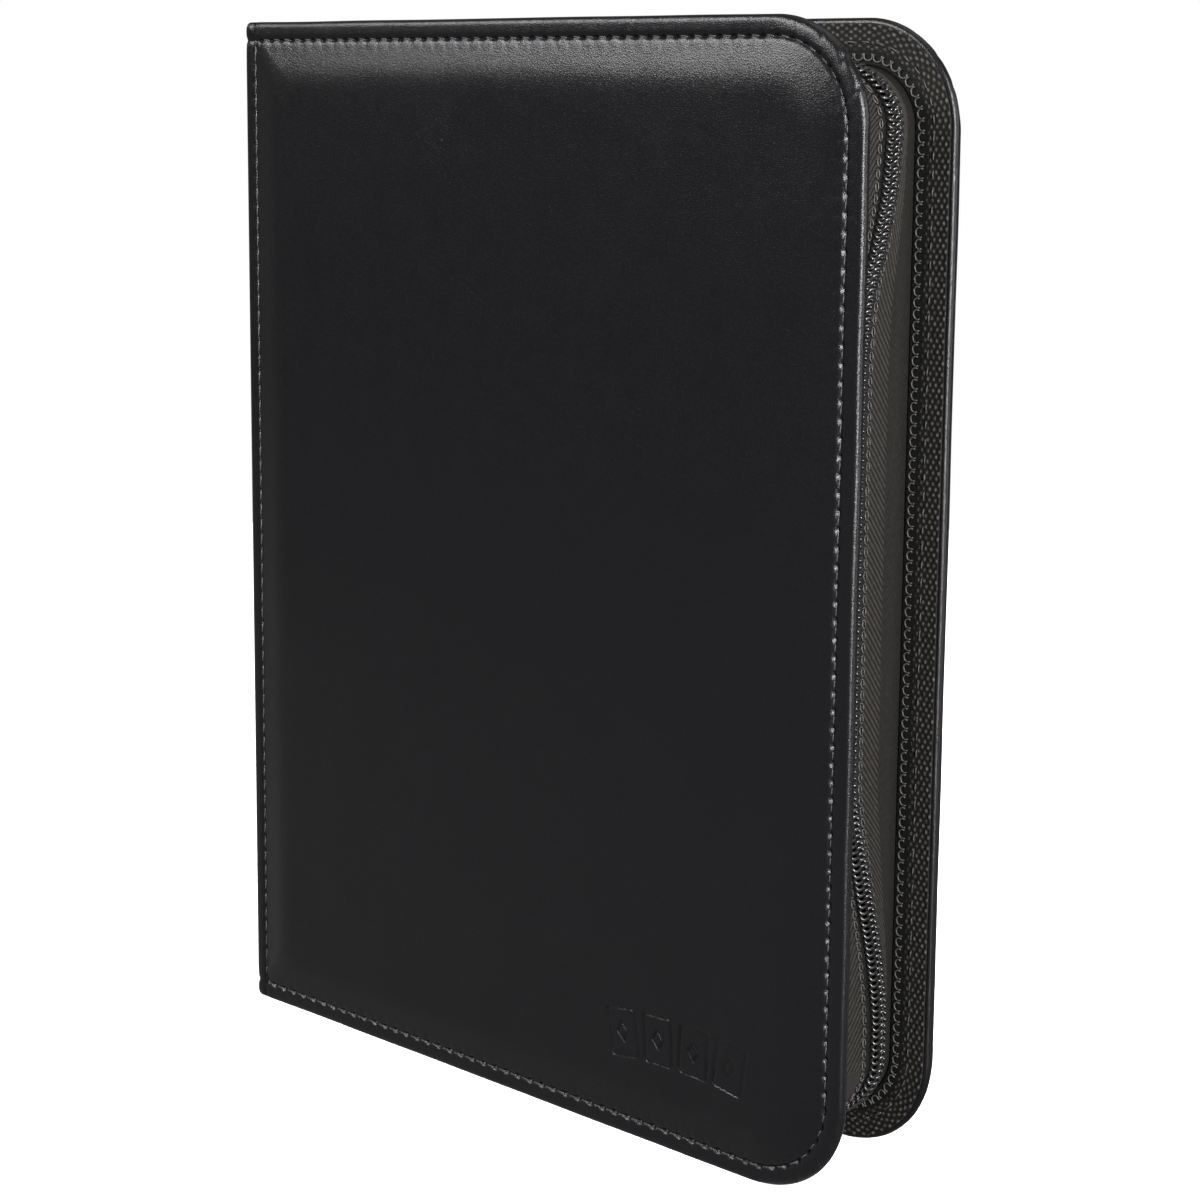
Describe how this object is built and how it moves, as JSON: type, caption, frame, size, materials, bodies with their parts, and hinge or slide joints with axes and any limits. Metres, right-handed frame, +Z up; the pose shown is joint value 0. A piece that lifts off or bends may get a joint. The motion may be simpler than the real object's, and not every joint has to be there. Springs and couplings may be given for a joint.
{
  "type": "trading card binder",
  "caption": "Black padded leatherette zip-around binder with side-loading pages of clear pockets for trading cards; covers, pages, slider and pull tab move.",
  "frame": {"origin": "under the middle of the closed binder, on the surface that its bottom edges stand on", "axes": "+X from the spine to the zipped fore-edge, +Y from the front cover to the back cover, +Z up along the spine"},
  "size_m": [0.258, 0.054, 0.345],
  "materials": {
    "leatherette": "satin",
    "foam": "matte",
    "board": "matte",
    "lining": "matte",
    "webbing": "matte",
    "zip_tape": "matte",
    "zip_coil": "satin",
    "zip_metal": "satin",
    "page_backing": "matte",
    "pocket_film": "gloss"
  },
  "bodies": {
    "spine": {"spine_skin": "leatherette", "spine_foam": "foam", "spine_board": "board", "spine_lining": "lining", "page_binding_strip": "page_backing", "front_hinge_strip": "leatherette", "back_hinge_strip": "leatherette", "zip_end_tab_top": "leatherette", "zip_end_tab_bottom": "leatherette", "zip_top_stops": "zip_metal", "zip_bottom_stop": "zip_metal"},
    "front_cover": {"front_cover_skin": "leatherette", "front_cover_foam": "foam", "front_cover_board": "board", "front_cover_lining": "lining", "front_edge_webbing": "webbing", "front_zip_tape": "zip_tape", "front_zip_coil": "zip_coil"},
    "back_cover": {"back_cover_skin": "leatherette", "back_cover_foam": "foam", "back_cover_board": "board", "back_cover_lining": "lining", "back_edge_webbing": "webbing", "back_zip_tape": "zip_tape", "back_zip_coil": "zip_coil"},
    "zip_slider": {"zip_slider_body": "zip_metal"},
    "pull_tab": {"zip_pull_tab": "zip_metal"},
    "page_01": {"page_01": "page_backing"},
    "page_02": {"page_02": "page_backing"},
    "page_03": {"page_03": "page_backing"},
    "page_04": {"page_04": "page_backing"},
    "page_05": {"page_05": "page_backing"},
    "page_06": {"page_06": "page_backing"},
    "page_07": {"page_07": "page_backing"},
    "page_08": {"page_08": "page_backing"},
    "page_09": {"page_09": "page_backing"},
    "page_10": {"page_10": "page_backing"},
    "page_11": {"page_11": "page_backing"},
    "page_12": {"page_12": "page_backing"},
    "page_13": {"page_13": "page_backing"},
    "page_14": {"page_14": "page_backing"},
    "page_15": {"page_15": "page_backing"},
    "page_16": {"page_16": "page_backing"},
    "page_17": {"page_17": "page_backing"},
    "page_18": {"page_18": "page_backing"},
    "page_19": {"page_19": "page_backing"},
    "page_20": {"page_20": "page_backing"}
  },
  "joints": [
    {"name": "front_cover_hinge", "type": "hinge", "parent": "spine", "child": "front_cover", "pos_m": [-0.1274, -0.0229, 0], "axis": [0, 0, -1], "range_deg": [0, 95]},
    {"name": "back_cover_hinge", "type": "hinge", "parent": "spine", "child": "back_cover", "pos_m": [-0.1274, 0.0229, 0], "axis": [0, 0, 1], "range_deg": [0, 95]},
    {"name": "zip_slider_slide", "type": "slide", "parent": "spine", "child": "zip_slider", "axis": [1, 0, 0], "range_m": [0, 0.185]},
    {"name": "pull_tab_hinge", "type": "hinge", "parent": "zip_slider", "child": "pull_tab", "pos_m": [-0.103, 0, 0.3369], "axis": [0, -1, 0], "range_deg": [0, 135]},
    {"name": "page_01_turn", "type": "hinge", "parent": "spine", "child": "page_01", "pos_m": [-0.121, -0.01758, 0], "axis": [0, 0, -1], "range_deg": [0, 89]},
    {"name": "page_02_turn", "type": "hinge", "parent": "spine", "child": "page_02", "pos_m": [-0.1195, -0.01572, 0], "axis": [0, 0, -1], "range_deg": [0, 89]},
    {"name": "page_03_turn", "type": "hinge", "parent": "spine", "child": "page_03", "pos_m": [-0.118, -0.01388, 0], "axis": [0, 0, -1], "range_deg": [0, 89]},
    {"name": "page_04_turn", "type": "hinge", "parent": "spine", "child": "page_04", "pos_m": [-0.1165, -0.01202, 0], "axis": [0, 0, -1], "range_deg": [0, 89]},
    {"name": "page_05_turn", "type": "hinge", "parent": "spine", "child": "page_05", "pos_m": [-0.115, -0.01018, 0], "axis": [0, 0, -1], "range_deg": [0, 89]},
    {"name": "page_06_turn", "type": "hinge", "parent": "spine", "child": "page_06", "pos_m": [-0.1135, -0.00833, 0], "axis": [0, 0, -1], "range_deg": [0, 89]},
    {"name": "page_07_turn", "type": "hinge", "parent": "spine", "child": "page_07", "pos_m": [-0.112, -0.00647, 0], "axis": [0, 0, -1], "range_deg": [0, 89]},
    {"name": "page_08_turn", "type": "hinge", "parent": "spine", "child": "page_08", "pos_m": [-0.1105, -0.00462, 0], "axis": [0, 0, -1], "range_deg": [0, 89]},
    {"name": "page_09_turn", "type": "hinge", "parent": "spine", "child": "page_09", "pos_m": [-0.109, -0.00278, 0], "axis": [0, 0, -1], "range_deg": [0, 89]},
    {"name": "page_10_turn", "type": "hinge", "parent": "spine", "child": "page_10", "pos_m": [-0.1075, -0.00093, 0], "axis": [0, 0, -1], "range_deg": [0, 89]},
    {"name": "page_11_turn", "type": "hinge", "parent": "spine", "child": "page_11", "pos_m": [-0.1075, 0.00093, 0], "axis": [0, 0, 1], "range_deg": [0, 89]},
    {"name": "page_12_turn", "type": "hinge", "parent": "spine", "child": "page_12", "pos_m": [-0.109, 0.00278, 0], "axis": [0, 0, 1], "range_deg": [0, 89]},
    {"name": "page_13_turn", "type": "hinge", "parent": "spine", "child": "page_13", "pos_m": [-0.1105, 0.00462, 0], "axis": [0, 0, 1], "range_deg": [0, 89]},
    {"name": "page_14_turn", "type": "hinge", "parent": "spine", "child": "page_14", "pos_m": [-0.112, 0.00647, 0], "axis": [0, 0, 1], "range_deg": [0, 89]},
    {"name": "page_15_turn", "type": "hinge", "parent": "spine", "child": "page_15", "pos_m": [-0.1135, 0.00833, 0], "axis": [0, 0, 1], "range_deg": [0, 89]},
    {"name": "page_16_turn", "type": "hinge", "parent": "spine", "child": "page_16", "pos_m": [-0.115, 0.01018, 0], "axis": [0, 0, 1], "range_deg": [0, 89]},
    {"name": "page_17_turn", "type": "hinge", "parent": "spine", "child": "page_17", "pos_m": [-0.1165, 0.01202, 0], "axis": [0, 0, 1], "range_deg": [0, 89]},
    {"name": "page_18_turn", "type": "hinge", "parent": "spine", "child": "page_18", "pos_m": [-0.118, 0.01388, 0], "axis": [0, 0, 1], "range_deg": [0, 89]},
    {"name": "page_19_turn", "type": "hinge", "parent": "spine", "child": "page_19", "pos_m": [-0.1195, 0.01572, 0], "axis": [0, 0, 1], "range_deg": [0, 89]},
    {"name": "page_20_turn", "type": "hinge", "parent": "spine", "child": "page_20", "pos_m": [-0.121, 0.01758, 0], "axis": [0, 0, 1], "range_deg": [0, 89]}
  ],
  "couplings": [
    {"joint": "page_01_turn", "follows": "front_cover_hinge", "ratio": 0.93},
    {"joint": "page_02_turn", "follows": "front_cover_hinge", "ratio": 0.918},
    {"joint": "page_03_turn", "follows": "front_cover_hinge", "ratio": 0.906},
    {"joint": "page_04_turn", "follows": "front_cover_hinge", "ratio": 0.894},
    {"joint": "page_05_turn", "follows": "front_cover_hinge", "ratio": 0.882},
    {"joint": "page_06_turn", "follows": "front_cover_hinge", "ratio": 0.87},
    {"joint": "page_07_turn", "follows": "front_cover_hinge", "ratio": 0.858},
    {"joint": "page_08_turn", "follows": "front_cover_hinge", "ratio": 0.846},
    {"joint": "page_09_turn", "follows": "front_cover_hinge", "ratio": 0.834},
    {"joint": "page_10_turn", "follows": "front_cover_hinge", "ratio": 0.822},
    {"joint": "page_11_turn", "follows": "back_cover_hinge", "ratio": 0.822},
    {"joint": "page_12_turn", "follows": "back_cover_hinge", "ratio": 0.834},
    {"joint": "page_13_turn", "follows": "back_cover_hinge", "ratio": 0.846},
    {"joint": "page_14_turn", "follows": "back_cover_hinge", "ratio": 0.858},
    {"joint": "page_15_turn", "follows": "back_cover_hinge", "ratio": 0.87},
    {"joint": "page_16_turn", "follows": "back_cover_hinge", "ratio": 0.882},
    {"joint": "page_17_turn", "follows": "back_cover_hinge", "ratio": 0.894},
    {"joint": "page_18_turn", "follows": "back_cover_hinge", "ratio": 0.906},
    {"joint": "page_19_turn", "follows": "back_cover_hinge", "ratio": 0.918},
    {"joint": "page_20_turn", "follows": "back_cover_hinge", "ratio": 0.93}
  ]
}
